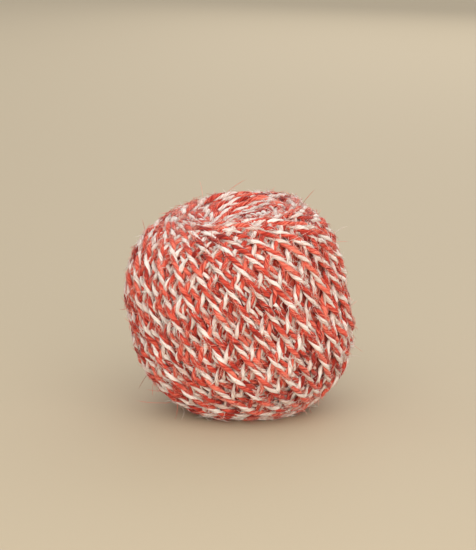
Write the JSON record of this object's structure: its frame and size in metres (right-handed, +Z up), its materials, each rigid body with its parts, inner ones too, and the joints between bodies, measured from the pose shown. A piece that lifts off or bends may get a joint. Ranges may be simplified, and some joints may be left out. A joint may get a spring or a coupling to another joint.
{
  "type": "ball of twine",
  "caption": "Machine-wound ball of red and white two-ply jute twine, with crossing turns, a shallow dimple at the top and a small flat spot to lie on",
  "frame": {"origin": "middle of the box in X and Y, on the surface that the ball lies on", "axes": "+Z up, +X to the right and -Y towards the viewer of the picture; the winding axis leans 4.5 degrees to the left and 4 degrees to the viewer"},
  "size_m": [0.0768, 0.0754, 0.0722],
  "materials": {
    "twine_red": "dyed jute fibre, matte, fuzzy",
    "twine_white": "bleached jute fibre, matte, fuzzy"
  },
  "bodies": {
    "root": {"twine_ball": "twine_red"}
  },
  "joints": []
}
